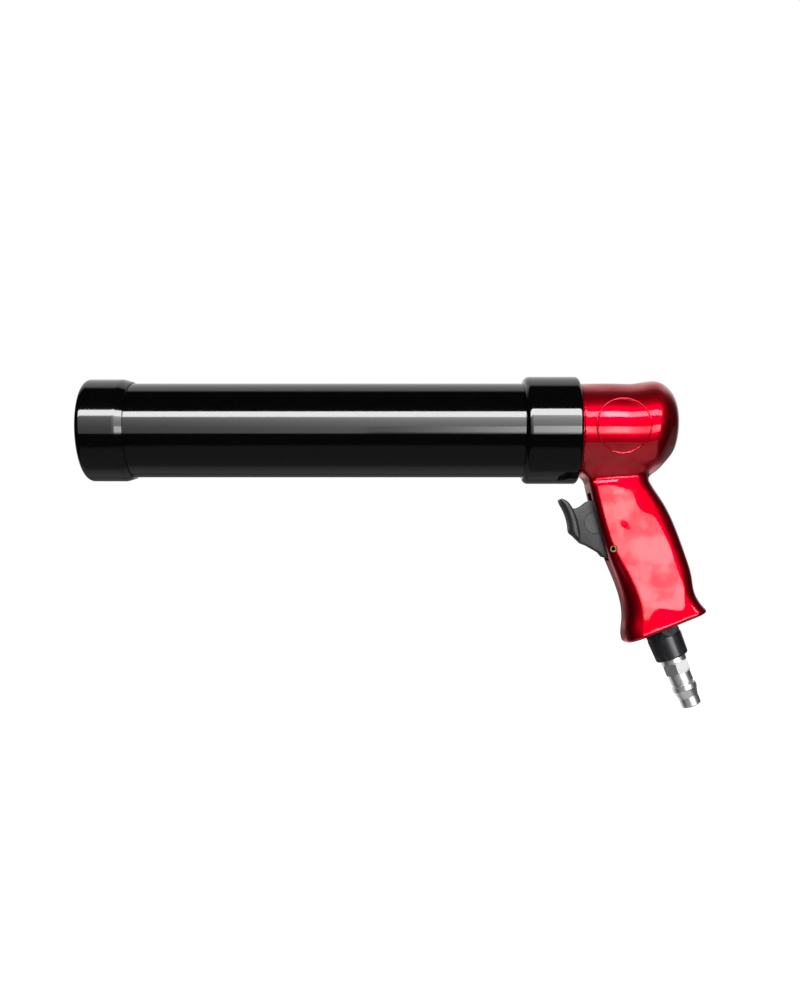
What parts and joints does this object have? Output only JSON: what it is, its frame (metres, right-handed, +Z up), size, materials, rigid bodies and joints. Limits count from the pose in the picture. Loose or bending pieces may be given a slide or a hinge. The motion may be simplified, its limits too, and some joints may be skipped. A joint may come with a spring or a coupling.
{
  "type": "caulking gun",
  "caption": "Air-powered caulking gun: screw-capped barrel with a sliding piston, pistol grip casting, hooked trigger and a quick-connect air plug.",
  "frame": {"origin": "centre of the nozzle opening on the gun's front face", "axes": "+X along the barrel from the nozzle to the handle, +Z up with the grip hanging down -Z, +Y across"},
  "size_m": [0.3628, 0.0627, 0.1951],
  "materials": {
    "cap_black": "gloss",
    "plate_black": "satin",
    "tube_black": "gloss",
    "collar_black": "gloss",
    "casting_red": "gloss metallic",
    "trigger_black": "satin",
    "pin_steel": "satin",
    "valve_brass": "turned",
    "valve_steel": "turned",
    "seal_rubber": "matt",
    "bush_black": "satin",
    "filter_bronze": "sintered",
    "plug_steel": "turned",
    "piston_plastic": "satin"
  },
  "bodies": {
    "handle": {"handle_body": "casting_red", "trigger_pin": "pin_steel", "valve_clip": "pin_steel", "valve_sleeve": "valve_brass", "sleeve_orings": "seal_rubber", "stem_seal": "seal_rubber", "valve_spring": "pin_steel", "inlet_bushing": "bush_black", "inlet_seal": "seal_rubber", "inlet_filter": "filter_bronze", "air_plug": "plug_steel", "barrel_seal": "seal_rubber"},
    "barrel": {"barrel_tube": "tube_black"},
    "collar": {"barrel_collar": "collar_black"},
    "nozzle_holder": {"nozzle_plate": "plate_black", "nozzle_seal": "seal_rubber"},
    "cap": {"front_cap": "cap_black"},
    "piston": {"piston_body": "piston_plastic", "piston_seal": "seal_rubber", "piston_washer": "valve_steel", "piston_bolt": "valve_steel", "piston_nut": "valve_steel"},
    "trigger": {"trigger": "trigger_black"},
    "valve": {"valve_stem": "valve_steel", "poppet_seal": "seal_rubber"}
  },
  "joints": [
    {"name": "barrel_withdraw", "type": "slide", "parent": "handle", "child": "barrel", "axis": [-1, 0, 0], "range_m": [0, 0.0121]},
    {"name": "collar_turn", "type": "hinge", "parent": "barrel", "child": "collar", "pos_m": [0.2725, 0, 0], "axis": [-1, 0, 0], "range_deg": [0, 1440]},
    {"name": "cap_travel", "type": "slide", "parent": "barrel", "child": "nozzle_holder", "axis": [-1, 0, 0], "range_m": [0, 0.0211]},
    {"name": "cap_turn", "type": "hinge", "parent": "nozzle_holder", "child": "cap", "pos_m": [0.014, 0, 0], "axis": [-1, 0, 0], "range_deg": [0, 2520]},
    {"name": "piston_travel", "type": "slide", "parent": "barrel", "child": "piston", "axis": [-1, 0, 0], "range_m": [0, 0.235]},
    {"name": "trigger_pull", "type": "hinge", "parent": "handle", "child": "trigger", "pos_m": [0.3081, 0, -0.0699], "axis": [0, 1, 0], "range_deg": [0, 12], "stiffness_Nm_per_rad": 0.6, "springref_deg": -5.73},
    {"name": "valve_push", "type": "slide", "parent": "handle", "child": "valve", "axis": [0.9668, 0, 0.2554], "range_m": [0, 0.0036]}
  ],
  "couplings": [
    {"joint": "barrel_withdraw", "follows": "collar_turn", "m_per_rad": 0.00047746},
    {"joint": "cap_travel", "follows": "cap_turn", "m_per_rad": 0.00047746},
    {"joint": "valve_push", "follows": "trigger_pull", "m_per_rad": 0.0168}
  ]
}
